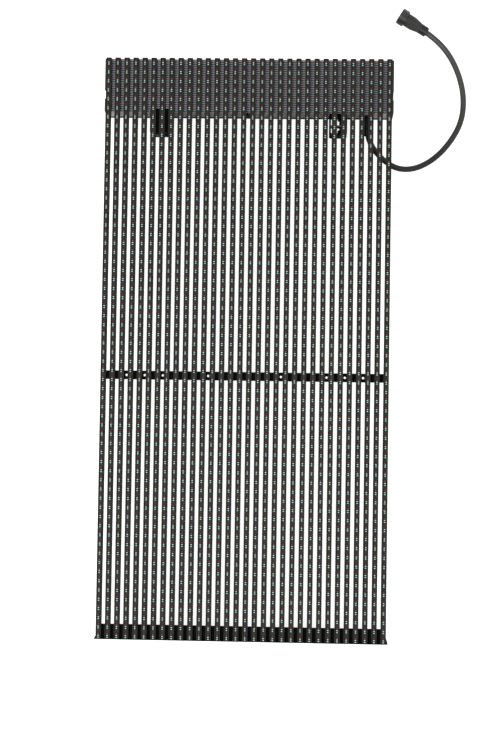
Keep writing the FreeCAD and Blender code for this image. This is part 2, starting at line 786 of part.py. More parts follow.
# Bracket sleeves: bent sheet closed to a tube, held to the underside by a stud and nuts
def make_bracket(name, side):
    """The right sleeve is open at both ends. The left one reaches the strips and has a blind
    front wall, whose tongue is let into the ribs of the box."""
    body = new_body(name)
    middle = bracket_place * side
    back = axis_level - bracket_depth / 2
    depth = box_depth - back if side < 0 else bracket_depth
    outline = sketch_on(body, name + "_outline", "XY_Plane", back)
    for inset_x, inset_y in ((as_size(0), as_size(0)), (bracket_side, bracket_wall)):
        half = bracket_width / 2 - inset_x
        rectangle(outline, middle - half, bracket_bottom + inset_y, middle + half,
                  box_bottom - inset_y)
    tube = pad(body, name + "_tube", outline, depth)
    document.recompute()
    half = bracket_width.value / 2
    rounded = body.newObject("PartDesign::Fillet", name + "_outer_corners")
    rounded.Base = (tube, upright_edges(tube.Shape, middle.value, half))
    bind(rounded, Radius=bracket_corner)
    document.recompute()
    hollow = body.newObject("PartDesign::Fillet", name + "_inner_corners")
    hollow.Base = (rounded, upright_edges(rounded.Shape, middle.value,
                                          half - bracket_side.value))
    bind(hollow, Radius=bracket_inner_corner)
    holes = sketch_on(body, name + "_hole_outline", "XZ_Plane", -box_bottom)
    circle(holes, stud_place(side), axis_level, stud_radius + shank_gap)
    pocket(body, name + "_stud_hole", holes, bracket_drop, reverse=True)
    if side < 0:
        left, right = blind_front_edges()
        front = sketch_on(body, name + "_front_outline", "XY_Plane", box_depth)
        rectangle(front, left, bracket_bottom, right, box_bottom + tongue_height)
        pad(body, name + "_front", front, bracket_wall, reverse=True)
    return body


def upright_edges(shape, middle, reach):
    """Names of the edges from back to front at a distance either side of a middle."""
    names = []
    for number, edge in enumerate(shape.Edges, 1):
        box = edge.BoundBox
        if box.ZLength > 1 and abs(abs(box.XMin - middle) - reach) < 0.01:
            names.append(f"Edge{number}")
    return names


def make_clamp_plate(side):
    body = new_body(f"clamp_plate_{side + 2}")
    middle = bracket_place * side
    half = bracket_width / 2 - bracket_side - clamp_gap
    outline = sketch_on(body, body.Name + "_outline", "XZ_Plane", clamp_drop - box_bottom)
    rectangle(outline, middle - half, axis_level - clamp_width / 2, middle + half,
              axis_level + clamp_width / 2)
    circle(outline, stud_place(side), axis_level, stud_radius + thread_gap)
    pad(body, body.Name + "_sheet", outline, clamp_thickness)
    return body


def make_stud(side):
    top = inner_bottom + nut_height + stud_end
    return cylinder(f"stud_{side + 2}", stud_place(side), top, axis_level, stud_radius,
                    top - bracket_bottom + stud_end, DOWN_THE_PANEL)


def make_nut(name, side, top, height):
    body = new_body(name)
    outline = sketch_on(body, name + "_outline", "XZ_Plane", -top)
    hexagon(outline, stud_place(side), axis_level, nut_across_flats)
    circle(outline, stud_place(side), axis_level, stud_radius + thread_gap)
    pad(body, name + "_hexagon", outline, height)
    return body


def make_clamp_nuts():
    """On each stud: one nut inside the box, one under the bracket's top, one lock nut."""
    lock_top = bracket_bottom + bracket_wall + locknut_height
    tops = [("inner_nut", inner_bottom + nut_height, nut_height),
            ("upper_nut", box_bottom - bracket_wall, nut_height),
            ("lock_nut", lock_top, locknut_height)]
    nuts = []
    for side in (-1, 1):
        for name, top, height in tops:
            nuts.append(make_nut(f"{name}_{side + 2}", side, top, height))
    return group("clamp_nuts", nuts)


nodes.append(make_bracket("bracket_left", -1))
nodes.append(make_bracket("bracket_right", 1))
nodes.append(group("clamp_plates", [make_clamp_plate(side) for side in (-1, 1)]))
nodes.append(group("clamp_studs", [make_stud(side) for side in (-1, 1)]))
nodes.append(make_clamp_nuts())


# Vent plug and cable gland, turned about an axis that points down the panel
def hang_below(body, x, z):
    """Put a turned piece on the box's underside; its own X axis points down the panel."""
    body.Placement = FreeCAD.Placement(vector(0, 0, 0), FreeCAD.Rotation(vector(0, 0, 1), -90))
    bind(body, Placement__Base__x=x, Placement__Base__y=box_bottom, Placement__Base__z=z)


def make_vent_plug():
    body = new_body("vent_plug")
    turned(body, "vent_round", [
        (-shank_length, 0), (-shank_length, vent_ring_radius), (-box_wall, vent_ring_radius),
        (-box_wall, vent_shank_radius), (0, vent_shank_radius), (0, vent_radius),
        (vent_stand - vent_bevel, vent_radius), (vent_stand, vent_radius - vent_bevel),
        (vent_stand, 0)])
    hang_below(body, 0, vent_level)
    return body


def make_cable_gland():
    """Hexagon, neck for the nut, shank through the wall and the lock ring behind it."""
    body = new_body("cable_gland")
    turned(body, "gland_round", [
        (-shank_length, 0), (-shank_length, gland_ring_radius), (-box_wall, gland_ring_radius),
        (-box_wall, gland_shank_radius), (0, gland_shank_radius),
        (0, gland_neck_radius), (gland_length - gland_nut_rim, gland_neck_radius),
        (gland_length - gland_nut_rim, lead_bore), (lead_start, lead_bore), (lead_start, 0)])
    flange = sketch_on(body, "gland_hexagon_outline", "YZ_Plane")
    hexagon(flange, 0, 0, gland_across_flats)
    circle(flange, 0, 0, gland_neck_radius - fit_gap)
    pad(body, "gland_hexagon", flange, gland_flange)
    hang_below(body, gland_place, axis_level)
    return body


def make_gland_nut():
    body = new_body("gland_nut")
    thread = gland_neck_radius + thread_gap
    turned(body, "gland_nut_round", [
        (gland_flange, thread), (gland_flange, gland_nut_radius),
        (gland_length - gland_nut_bevel, gland_nut_radius),
        (gland_length, gland_nut_radius - gland_nut_bevel), (gland_length, lead_bore),
        (gland_length - gland_nut_rim, lead_bore), (gland_length - gland_nut_rim, thread)])
    hang_below(body, gland_place, axis_level)
    return body


nodes.append(make_vent_plug())
nodes.append(make_cable_gland())
nodes.append(make_gland_nut())


# Connector: its own X axis runs from the tail nut to the mouth
def lay_connector(body):
    """It lies on its tail nut and on the coupling nut, which is thicker, so the mouth rises."""
    rise = math.degrees(math.atan2(coupling_radius.value - tail_radius.value,
                                   coupling_start.value))
    heading = FreeCAD.Rotation(vector(0, 0, 1), connector_heading.value)
    turn = heading.multiply(FreeCAD.Rotation(vector(0, 1, 0), -rise))
    height = tail_radius.value * math.cos(math.radians(rise)) + rest_gap.value
    body.Placement = FreeCAD.Placement(vector(tail_x.value, tail_y.value, height), turn)


def make_connector_body():
    body = new_body("connector_body")
    thread_start = tail_length - tail_thread_length
    neck_end = body_end + coupling_lip + end_play
    keeper_end = neck_end + keeper_length
    turned(body, "connector_round", [
        (lead_entry, 0), (lead_entry, lead_bore), (thread_start, lead_bore),
        (thread_start, tail_thread_radius), (tail_length, tail_thread_radius),
        (tail_length, shoulder_radius), (tail_length + shoulder_length, shoulder_radius),
        (tail_length + shoulder_length + taper_length, body_radius), (body_end, body_radius),
        (body_end, neck_radius), (neck_end, neck_radius), (neck_end, keeper_radius),
        (keeper_end, keeper_radius), (keeper_end, shell_radius), (mouth, shell_radius),
        (mouth, shell_radius - shell_wall), (insert_start, shell_radius - shell_wall),
        (insert_start, 0)])
    lay_connector(body)
    return body


def make_contact_insert():
    body = new_body("contact_insert")
    face = mouth - insert_recess
    disc = sketch_on(body, "insert_outline", "YZ_Plane", insert_start)
    circle(disc, 0, 0, shell_radius - shell_wall - thread_gap)
    pad(body, "insert_disc", disc, insert_depth)
    holes = sketch_on(body, "contact_outline", "YZ_Plane", face)
    circle(holes, contact_circle, 0, contact_radius)
    hole = pocket(body, "contact_hole", holes, contact_depth)
    around = body.newObject("PartDesign::PolarPattern", "contact_holes")
    around.Originals = [hole]
    around.Axis = (plane_of(body, "X_Axis"), [""])
    around.Angle = 360
    bind(around, Occurrences=contact_count)
    body.Tip = around
    lay_connector(body)
    return body


def make_coupling_nut():
    body = new_body("coupling_nut")
    core = sketch_on(body, "coupling_outline", "YZ_Plane", coupling_start)
    circle(core, 0, 0, coupling_radius)
    pad(body, "coupling_core", core, coupling_length)
    grip = sketch_on(body, "grip_outline", "YZ_Plane", coupling_start)
    circle(grip, grip_circle, 0, grip_radius)
    grip_pad = pad(body, "grip", grip, coupling_length - grip_setback)
    around = body.newObject("PartDesign::PolarPattern", "grips")
    around.Originals = [grip_pad]
    around.Axis = (plane_of(body, "X_Axis"), [""])
    around.Angle = 360
    bind(around, Occurrences=grip_count)
    body.Tip = around
    lip = sketch_on(body, "lip_bore_outline", "YZ_Plane", coupling_start)
    circle(lip, 0, 0, neck_radius + running_gap)
    pocket(body, "lip_bore", lip, coupling_lip, reverse=True)
    thread = sketch_on(body, "thread_bore_outline", "YZ_Plane", coupling_start + coupling_lip)
    circle(thread, 0, 0, thread_radius)
    pocket(body, "thread_bore", thread, coupling_length - coupling_lip, reverse=True)
    lay_connector(body)
    return body


def make_tail_nut():
    body = new_body("tail_nut")
    thread_start = tail_length - tail_thread_length
    thread = tail_thread_radius + thread_gap
    turned(body, "tail_nut_round", [
        (0, lead_bore), (0, tail_radius - tail_bevel), (tail_bevel, tail_radius),
        (tail_length, tail_radius), (tail_length, thread), (thread_start, thread),
        (thread_start, lead_bore)])
    lay_connector(body)
    return body


connector_body = make_connector_body()
nodes.append(connector_body)
nodes.append(make_contact_insert())
nodes.append(make_coupling_nut())
nodes.append(make_tail_nut())
document.recompute()


# Lead: straight runs joined by arcs that touch both, swept by a round section
def lead_route():
    """From inside the gland, down to the floor, round beside the box, into the connector."""
    place = connector_body.Placement
    outside = place.multVec(vector(-lead_tail_run.value, 0, 0))
    inside = place.multVec(vector(lead_entry.value, 0, 0))
    floor = lead_radius.value + rest_gap.value
    start = vector(gland_place.value, box_bottom.value - lead_start.value, axis_level.value)
    below = vector(start.x, start.y - lead_first_run.value, start.z)
    along = [vector(x, y, floor + rise) for x, y, rise in LEAD_POINTS]
    return [start, below] + along + [outside, inside]


def rounded_path(points):
    """Each corner becomes an arc over 0.45 of the shorter run on either side of it."""
    edges = []
    start = points[0]
    for before, corner, after in zip(points, points[1:], points[2:]):
        incoming = corner - before
        outgoing = after - corner
        reach = 0.45 * min(incoming.Length, outgoing.Length)
        turn = incoming.getAngle(outgoing)
        radius = reach / math.tan(turn / 2)
        print(f"lead corner {corner.x:.1f} {corner.y:.1f} {corner.z:.1f}, "
              f"run {outgoing.Length:.1f}, turn {math.degrees(turn):.1f}, radius {radius:.1f}")
        unit_in = incoming / incoming.Length
        unit_out = outgoing / outgoing.Length
        arc_start = corner - unit_in * reach
        arc_end = corner + unit_out * reach
        to_centre = unit_out - unit_in
        to_centre.normalize()
        centre = corner + to_centre * math.hypot(radius, reach)
        middle = centre - to_centre * radius
        edges.append(Part.LineSegment(start, arc_start).toShape())
        edges.append(Part.Arc(arc_start, middle, arc_end).toShape())
        start = arc_end
    edges.append(Part.LineSegment(start, points[-1]).toShape())
    return Part.Wire(edges)


def make_lead():
    points = lead_route()
    path = rounded_path(points)
    section = Part.Wire([Part.Circle(points[0], points[1] - points[0],
                                     lead_radius.value).toShape()])
    tube = path.makePipeShell([section], True, False)
    area = math.pi * lead_radius.value ** 2
    print(f"lead: length {path.Length:.1f}, volume {tube.Volume:.0f}, "
          f"section times length {area * path.Length:.0f}")
    lead = document.addObject("Part::Feature", "lead_cable")
    lead.Label = "lead_cable"
    lead.Shape = tube
    return lead


nodes.append(make_lead())
document.recompute()


# Check every object, then write each sub-part to its own file
def write_parts():
    for item in document.Objects:
        if "Invalid" in item.State or "Error" in item.State:
            raise RuntimeError(f"{item.Label} failed: {item.State}")
    os.makedirs("parts", exist_ok=True)
    for node in nodes:
        shape = node.Shape
        if shape.isNull() or not shape.isValid():
            raise RuntimeError(f"{node.Label} has no valid shape")
        shape.exportStep(f"parts/{node.Label}.step")
        box = shape.BoundBox
        print(f"{node.Label}: {len(shape.Solids)} solids, {shape.Volume / 1000:.2f} cm3, "
              f"X {box.XMin:.1f} {box.XMax:.1f} Y {box.YMin:.1f} {box.YMax:.1f} "
              f"Z {box.ZMin:.1f} {box.ZMax:.1f}")


write_parts()
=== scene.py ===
# %% [markdown]
# # A see-through LED screen panel
# The real thing is a panel of upright lamp strips that hangs from a flat power box.
# It lies on its back here, lamps up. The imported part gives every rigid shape, and this
# script adds what a maker would call the finish: lamps, threads, screw heads, the soft
# lead, and a material for every surface.

# %% Load the part
import math

import bpy
import numpy as np
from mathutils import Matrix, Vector


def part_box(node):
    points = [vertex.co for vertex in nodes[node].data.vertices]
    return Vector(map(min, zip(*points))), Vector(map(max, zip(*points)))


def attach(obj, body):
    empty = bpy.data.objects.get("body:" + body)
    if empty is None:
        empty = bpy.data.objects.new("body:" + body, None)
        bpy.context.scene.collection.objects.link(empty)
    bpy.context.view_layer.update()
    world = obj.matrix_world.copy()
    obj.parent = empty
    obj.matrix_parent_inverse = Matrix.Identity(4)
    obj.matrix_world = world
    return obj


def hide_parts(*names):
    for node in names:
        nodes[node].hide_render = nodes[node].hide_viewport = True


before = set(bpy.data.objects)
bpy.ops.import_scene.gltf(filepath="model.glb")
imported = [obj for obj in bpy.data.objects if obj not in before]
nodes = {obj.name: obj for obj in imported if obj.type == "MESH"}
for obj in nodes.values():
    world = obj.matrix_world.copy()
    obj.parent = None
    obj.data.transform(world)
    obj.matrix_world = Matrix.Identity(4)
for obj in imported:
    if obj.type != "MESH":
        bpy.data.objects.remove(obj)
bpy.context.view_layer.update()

# %% [markdown]
# ## The camera
# The photograph looks almost straight down on the panel from about 2.9 m. A long lens
# keeps the strips parallel. A slight tilt shows the underside of the box as a narrow band.

# %% Camera
camera_data = bpy.data.cameras.new("camera")
camera_data.lens = 78.7
camera_data.sensor_width = 36
camera_data.shift_x = 0.0003
camera = bpy.data.objects.new("camera", camera_data)
camera.location = (0.11889, -0.15866, 2.85116)
camera.rotation_euler = (0.042148, 0.038966, 0.015383)
bpy.context.collection.objects.link(camera)
bpy.context.scene.camera = camera
print("camera height:", camera.location.z, "m")

# %% [markdown]
# ## Meshes from formulas
# Every new piece is a surface that a formula gives on a grid of two parameters. Numpy
# works out all points at once. A grid that is closed one way makes a ring, and its two
# open ends can be closed with one point each. A small shape that is repeated, such as a
# lamp, is worked out once and then shifted to each place by adding an array of offsets.

# %% Mesh helpers
def piece(name, points, faces, material, smooth=True, body="panel"):
    """A mesh from arrays of points and faces, which rides on a body of the part."""
    mesh = bpy.data.meshes.new(name)
    mesh.from_pydata(np.asarray(points, float).tolist(), [], faces)
    mesh.polygons.foreach_set("use_smooth", np.full(len(faces), smooth))
    mesh.materials.append(material)
    mesh.update()
    made = bpy.data.objects.new(name, mesh)
    bpy.context.collection.objects.link(made)
    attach(made, body)
    return made


def ring_faces(rows, columns):
    """Quads between neighbouring rows, where the last column meets the first again."""
    row, column = np.meshgrid(np.arange(rows - 1), np.arange(columns), indexing="ij")
    following = (column + 1) % columns
    quads = np.stack([row * columns + column, row * columns + following,
                      (row + 1) * columns + following, (row + 1) * columns + column], axis=-1)
    return quads.reshape(-1, 4).tolist()


def closed_rings(grid):
    """Points and faces of rings stacked in order, with a flat face on each end."""
    rows, columns = grid.shape[:2]
    faces = ring_faces(rows, columns)
    faces.append(list(range(columns))[::-1])
    faces.append(list(range((rows - 1) * columns, rows * columns)))
    return grid.reshape(-1, 3), faces


def closed_tube(grid):
    """Points and faces of rings stacked in order, where the last ring meets the first."""
    rows, columns = grid.shape[:2]
    closing = [[(corner + (rows - 1) * columns) % (rows * columns) for corner in face]
               for face in ring_faces(2, columns)]
    return grid.reshape(-1, 3), ring_faces(rows, columns) + closing


def repeated(points, faces, offsets):
    """Copies of one shape: each offset is added to all of its points."""
    offsets = np.asarray(offsets, float)
    every = (points[None, :, :] + offsets[:, None, :]).reshape(-1, 3)
    count = len(points)
    shifted = [[corner + step * count for corner in face]
               for step in range(len(offsets)) for face in faces]
    return every, shifted


def turned(profile, segments=32):
    """A round shape about +X. Each profile row is a length and a radius, and the point at
    angle a is the length, the radius times cos a, and the radius times sin a."""
    profile = np.asarray(profile, float)
    angle = np.linspace(0, 2 * np.pi, segments, endpoint=False)
    grid = np.empty((len(profile), segments, 3))
    grid[..., 0] = profile[:, :1]
    grid[..., 1] = profile[:, 1:] * np.cos(angle)
    grid[..., 2] = profile[:, 1:] * np.sin(angle)
    return grid


def placed(points, start, along, up=(0, 0, 1)):
    """Moves points so that their X axis runs from start in the direction along."""
    along = Vector(along).normalized()
    side = Vector(up).cross(along).normalized()
    turn = np.array([along, side, along.cross(side)])
    return np.asarray(points) @ turn + np.asarray(start)


print("helpers ready")

# %% [markdown]
# ## Finishes
# Moulded and painted surfaces are never one flat colour. Each finish here starts from a
# noise pattern on Object coordinates, which drives three things at once: a small change
# of colour, a small change of roughness, and a bump for the grain. The pattern can be
# stretched along one axis for drawn metal. Colours are written as a display shows them
# and turned into the linear values that the shader needs.

# %% Finish helpers
def linear(colour):
    """A display colour from 0 to 255 as linear light: the power 2.4 above a short toe."""
    share = np.asarray(colour, float) / 255
    light = np.where(share <= 0.04045, share / 12.92, ((share + 0.055) / 1.055) ** 2.4)
    return (*light.tolist(), 1.0)


def finish(name, dark, light, grain=300.0, roughness=(0.4, 0.55), bump=0.1, metallic=0.0,
           stretch=(1, 1, 1), specular=0.5):
    """A surface whose colour and roughness follow noise, with a finer grain as bump."""
    material = bpy.data.materials.new(name)
    material.use_nodes = True
    tree = material.node_tree
    shader = tree.nodes["Principled BSDF"]
    shader.inputs["Metallic"].default_value = metallic
    shader.inputs["Specular IOR Level"].default_value = specular
    place = tree.nodes.new("ShaderNodeTexCoord")
    scale = tree.nodes.new("ShaderNodeMapping")
    scale.inputs["Scale"].default_value = stretch
    tree.links.new(place.outputs["Object"], scale.inputs["Vector"])
    blotches = tree.nodes.new("ShaderNodeTexNoise")
    blotches.inputs["Scale"].default_value = grain / 8
    blotches.inputs["Detail"].default_value = 4
    grains = tree.nodes.new("ShaderNodeTexNoise")
    grains.inputs["Scale"].default_value = grain
    grains.inputs["Detail"].default_value = 2
    for pattern in (blotches, grains):
        tree.links.new(scale.outputs["Vector"], pattern.inputs["Vector"])
    colours = tree.nodes.new("ShaderNodeValToRGB")
    colours.color_ramp.elements[0].position = 0.35
    colours.color_ramp.elements[0].color = linear(dark)
    colours.color_ramp.elements[1].position = 0.65
    colours.color_ramp.elements[1].color = linear(light)
    tree.links.new(blotches.outputs["Fac"], colours.inputs["Fac"])
    tree.links.new(colours.outputs["Color"], shader.inputs["Base Color"])
    gloss = tree.nodes.new("ShaderNodeMapRange")
    gloss.inputs["To Min"].default_value = roughness[0]
    gloss.inputs["To Max"].default_value = roughness[1]
    tree.links.new(blotches.outputs["Fac"], gloss.inputs["Value"])
    tree.links.new(gloss.outputs["Result"], shader.inputs["Roughness"])
    relief = tree.nodes.new("ShaderNodeBump")
    relief.inputs["Strength"].default_value = bump
    relief.inputs["Distance"].default_value = 0.0002
    tree.links.new(grains.outputs["Fac"], relief.inputs["Height"])
    tree.links.new(relief.outputs["Normal"], shader.inputs["Normal"])
    return material


def painted_light_ramp(material, painted_colour, axis, low, high, strength=0.6):
    """Mixes in a colour of painted light or shade where a coordinate goes from low to high,
    as the painted highlight on rib tips.
    """
    tree = material.node_tree
    shader = tree.nodes["Principled BSDF"]
    base = shader.inputs["Base Color"].links[0].from_socket
    place = tree.nodes["Texture Coordinate"]
    split = tree.nodes.new("ShaderNodeSeparateXYZ")
    tree.links.new(place.outputs["Object"], split.inputs["Vector"])
    # The ramp below places the painted light or shade.
    share = tree.nodes.new("ShaderNodeMapRange")
    share.inputs["From Min"].default_value = low
    share.inputs["From Max"].default_value = high
    share.inputs["To Max"].default_value = strength
    tree.links.new(split.outputs[axis], share.inputs["Value"])
    mix = tree.nodes.new("ShaderNodeMixRGB")
    mix.inputs["Color2"].default_value = linear(painted_colour)
    tree.links.new(share.outputs["Result"], mix.inputs["Fac"])
    tree.links.new(base, mix.inputs["Color1"])
    tree.links.new(mix.outputs["Color"], shader.inputs["Base Color"])
    return material


def dress(names, material):
    """Gives CAD nodes a finish by their material slots."""
    for name in names:
        for slot in nodes[name].material_slots:
            slot.material = material


print("finish helpers ready")

# %% [markdown]
# ## Strips
# Each strip is a matt black-brown moulding. It gets a fine grain, because the mould
# is spark-eroded so that it doesn't glare in sunlight.

# %% Strip housings
strip_finish = finish("strip_moulding", (32, 31, 29), (48, 46, 43), grain=900,
                      roughness=(0.6, 0.8), bump=0.25, specular=0.25)
strips = [name for name in nodes if name.startswith("strip_housing_")]
dress(strips, strip_finish)
board_finish = finish("circuit_board", (18, 52, 34), (26, 66, 44), grain=500)
dress(["lamp_boards", "hub_board", "receiving_card"], board_finish)
print("strips dressed:", len(strips))

# %% [markdown]
# ## Potting
# Black potting fills the trough round the lamps and creeps up the walls as it cures.
# The bar in the part stands for potting and lamps together, so this piece and the lamps
# replace it. The section is the formula of a meniscus: level in the middle, and rising
# with the fourth power of the distance towards each wall.

# %% Potting
PITCH = 0.015625
STRIPS = 32
PIXELS = 64
strip_x = (np.arange(STRIPS) - (STRIPS - 1) / 2) * PITCH
row_low, row_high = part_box("lamp_rows")
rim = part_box("strip_housing_01")[1].z
TROUGH_HALF = 0.0031
POTTING_DROP = 0.0013
POTTING_CREEP = 0.0008


def potting_bar():
    """Half width w, with t from -1 to 1: x is w t, and z is the level plus the creep
    times t to the fourth power. The bottom lies on the board."""
    across = np.linspace(-1, 1, 13)
    level = rim - POTTING_DROP
    top = np.stack([across * TROUGH_HALF, level + POTTING_CREEP * across ** 4], axis=1)
    section = np.concatenate([top, [[TROUGH_HALF, row_low.z], [-TROUGH_HALF, row_low.z]]])
    grid = np.empty((2, len(section), 3))
    grid[..., 0] = section[:, 0]
    grid[..., 1] = [[row_low.y], [row_high.y]]
    grid[..., 2] = section[:, 1]
    return closed_rings(grid[:, ::-1])


potting_finish = finish("potting", (24, 25, 24), (37, 38, 36), grain=500,
                        roughness=(0.4, 0.65), bump=0.3, specular=0.3)
points, faces = potting_bar()
offsets = np.stack([strip_x, 0 * strip_x, 0 * strip_x], axis=1)
potting = piece("potting", *repeated(points, faces, offsets), potting_finish, smooth=False)
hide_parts("lamp_rows")
print("potting bars:", STRIPS)

# %% [markdown]
# ## Lamps
# A pixel is three oval lamps, red over green over blue. Off, a lens shows its tinted
# resin, and its pale top is partly the cup inside and partly a painted highlight. A lens
# is a dome on a short oval stem: the outline is an ellipse, and the dome is a quarter
# circle of height. It has few faces, because there are thousands of them. One mesh holds
# all lamps of a colour.

# %% Lamps
LAMP_HALF = np.array([0.0024, 0.0015])
LAMP_STEP = 0.00325
PIXEL_SHIFT = -0.0010
LAMP_SINK = 0.0014
STEM = 0.0007
# The next two heights bound each lens's pale top, which is partly the cup and partly a painted
# highlight.
CUP_AND_HIGHLIGHT_START = 0.00185
CUP_AND_HIGHLIGHT_END = 0.0021
lamp_foot = rim - LAMP_SINK


def lens(segments=12):
    """Angle a round the outline and angle b up the dome from 0 to a right angle: the
    point is the half axes times cos b along the ellipse, and the height times sin b."""
    around = np.linspace(0, 2 * np.pi, segments, endpoint=False)
    rise = np.array([0, 0, 0.6, 1.25])
    dome = row_high.z - lamp_foot - STEM
    grid = np.empty((len(rise), segments, 3))
    grid[..., 0] = LAMP_HALF[0] * np.cos(rise)[:, None] * np.cos(around)
    grid[..., 1] = LAMP_HALF[1] * np.cos(rise)[:, None] * np.sin(around)
    grid[..., 2] = (lamp_foot + STEM + dome * np.sin(rise))[:, None]
    grid[0, :, 2] = lamp_foot
    return closed_rings(grid)


def lamp_finish(name, edge, cup_and_highlight_colour, coat):
    """Tinted resin, paler towards the top of the dome: partly the cup inside and partly a
    painted highlight. It has a clear gloss.
    """
    material = finish(name, edge, edge, grain=600, roughness=(0.12, 0.22), bump=0.02)
    tree = material.node_tree
    shader = tree.nodes["Principled BSDF"]
    shader.inputs["Coat Weight"].default_value = coat
    shader.inputs["Coat Roughness"].default_value = 0.08
    base = shader.inputs["Base Color"].links[0].from_socket
    height = tree.nodes.new("ShaderNodeSeparateXYZ")
    tree.links.new(tree.nodes["Texture Coordinate"].outputs["Object"], height.inputs["Vector"])
    share = tree.nodes.new("ShaderNodeMapRange")
    # The pale top of the dome is partly the cup and partly a painted highlight.
    share.inputs["From Min"].default_value = lamp_foot + CUP_AND_HIGHLIGHT_START
    share.inputs["From Max"].default_value = lamp_foot + CUP_AND_HIGHLIGHT_END
    tree.links.new(height.outputs["Z"], share.inputs["Value"])
    mix = tree.nodes.new("ShaderNodeMixRGB")
    mix.inputs["Color2"].default_value = linear(cup_and_highlight_colour)
    tree.links.new(share.outputs["Result"], mix.inputs["Fac"])
    tree.links.new(base, mix.inputs["Color1"])
    tree.links.new(mix.outputs["Color"], shader.inputs["Base Color"])
    return material


pixel_y = ((PIXELS - 1) / 2 - np.arange(PIXELS)) * PITCH + PIXEL_SHIFT
column, row = np.meshgrid(strip_x, pixel_y, indexing="ij")
# Each lamp's second colour is its pale top: partly the cup, partly a painted highlight.
lamp_colours = {
    "red": (1, (92, 20, 28), (110, 40, 44)),
    "green": (0, (8, 98, 66), (242, 248, 238)),
    "blue": (-1, (6, 88, 86), (234, 246, 242)),
}
for colour, (step, edge, cup_and_highlight_colour) in lamp_colours.items():
    spots = np.stack([column.ravel(), row.ravel() + step * LAMP_STEP, 0 * row.ravel()], axis=1)
    lens_points, lens_faces = lens()
    lamps = piece(f"lamps_{colour}", *repeated(lens_points, lens_faces, spots),
                  lamp_finish(f"lens_{colour}", edge, cup_and_highlight_colour, 0.5))
    print(colour, "lamps:", len(spots))

# %% [markdown]
# ## Power box
# The box is a grey anodised extrusion. Drawn metal has fine lines along the way it was
# pushed, so its noise is stretched along X. The rib tips are painted lighter as a painted
# highlight, and the underside is painted light.

# %% Power box
box_finish = finish("anodised_extrusion", (66, 66, 67), (82, 82, 82), grain=700,
                    roughness=(0.38, 0.5), bump=0.08, metallic=0.35, stretch=(0.04, 1, 1))
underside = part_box("box_body")[0].y
rib_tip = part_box("box_body")[1].z
# Painted highlight: the rib tips are painted lighter, where the ribs catch the light.
painted_light_ramp(box_finish, (176, 172, 180), "Z", rib_tip - 0.0013, rib_tip - 0.0001, 0.9)
# Painted light: the underside face is painted a light colour that stands in for light falling on it.
painted_light_ramp(box_finish, (210, 205, 204), "Y", underside + 0.0007, underside + 0.0001, 1.0)
dress(["box_body"], box_finish)
plate_finish = finish("cast_plate", (60, 60, 60), (74, 74, 73), grain=500,
                      roughness=(0.45, 0.6), bump=0.3, metallic=0.3)
dress(["end_plate_left", "end_plate_right"], plate_finish)
cover_finish = finish("black_powder_coat", (7, 7, 7), (13, 12, 12), grain=1200,
                      roughness=(0.65, 0.8), bump=0.5, specular=0.1)
dress(["rear_cover", "mid_bar", "bottom_rail"], cover_finish)
bare_finish = finish("bare_alloy", (150, 150, 150), (172, 172, 173), grain=700,
                     roughness=(0.3, 0.42), bump=0.06, metallic=1.0, stretch=(0.04, 1, 1))
dress(["hang_bar", "power_supply"], bare_finish)
seal_finish = finish("seal_rubber", (20, 20, 20), (30, 30, 30), grain=800,
                     roughness=(0.7, 0.85), bump=0.2)
dress(["cover_gasket"], seal_finish)
print("box dressed")

# %% [markdown]
# ## Fastenings
# Studs have a real helical thread: the radius goes up and down once per turn of the
# helix. Screw heads have a cross recess, a dip where the distance to either arm of the
# cross is small.

# %% Threads and screws
steel_finish = finish("zinc_plate", (120, 118, 112), (150, 149, 145), grain=900,
                      roughness=(0.25, 0.4), bump=0.08, metallic=1.0)
dress(["clamp_plates", "clamp_nuts"], steel_finish)
sleeve_finish = finish("black_sheet_steel", (4, 4, 5), (9, 9, 10), grain=1000,
                       roughness=(0.6, 0.75), bump=0.3, specular=0.1)
dress(["bracket_left", "bracket_right"], sleeve_finish)


def threaded(length, radius, lead, depth, segments=24, rows_per_turn=4):
    """Length s and angle a: the radius less the depth times a triangle wave of
    s over lead less a over a full turn, faded out at both ends for the bevels."""
    rows = int(length / lead * rows_per_turn) + 1
    s = np.linspace(0, length, rows)[:, None]
    a = np.linspace(0, 2 * np.pi, segments, endpoint=False)[None, :]
    wave = 2 * np.abs((s / lead - a / (2 * np.pi)) % 1 - 0.5)
    bevel = np.clip(1 - np.minimum(s, length - s) / (1.2 * depth), 0, 1)
    reach = radius - depth * np.maximum(wave, bevel)
    return np.stack([s + 0 * a, reach * np.cos(a), reach * np.sin(a)], axis=-1)


STUD_RADIUS = 0.004
THREAD_LEAD = 0.00125
THREAD_DEPTH = 0.0007
stud_low, stud_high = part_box("clamp_studs")
stud_level = (stud_low.z + stud_high.z) / 2
stud_length = stud_high.y - stud_low.y
points, faces = closed_rings(threaded(stud_length, STUD_RADIUS, THREAD_LEAD, THREAD_DEPTH))
points = placed(points, (0, stud_low.y, stud_level), (0, 1, 0))
stud_places = [(side * (stud_high.x - STUD_RADIUS), 0, 0) for side in (-1, 1)]
studs = piece("threaded_studs", *repeated(points, faces, stud_places), steel_finish)
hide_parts("clamp_studs")
print("stud length:", round(stud_length, 4), "m")


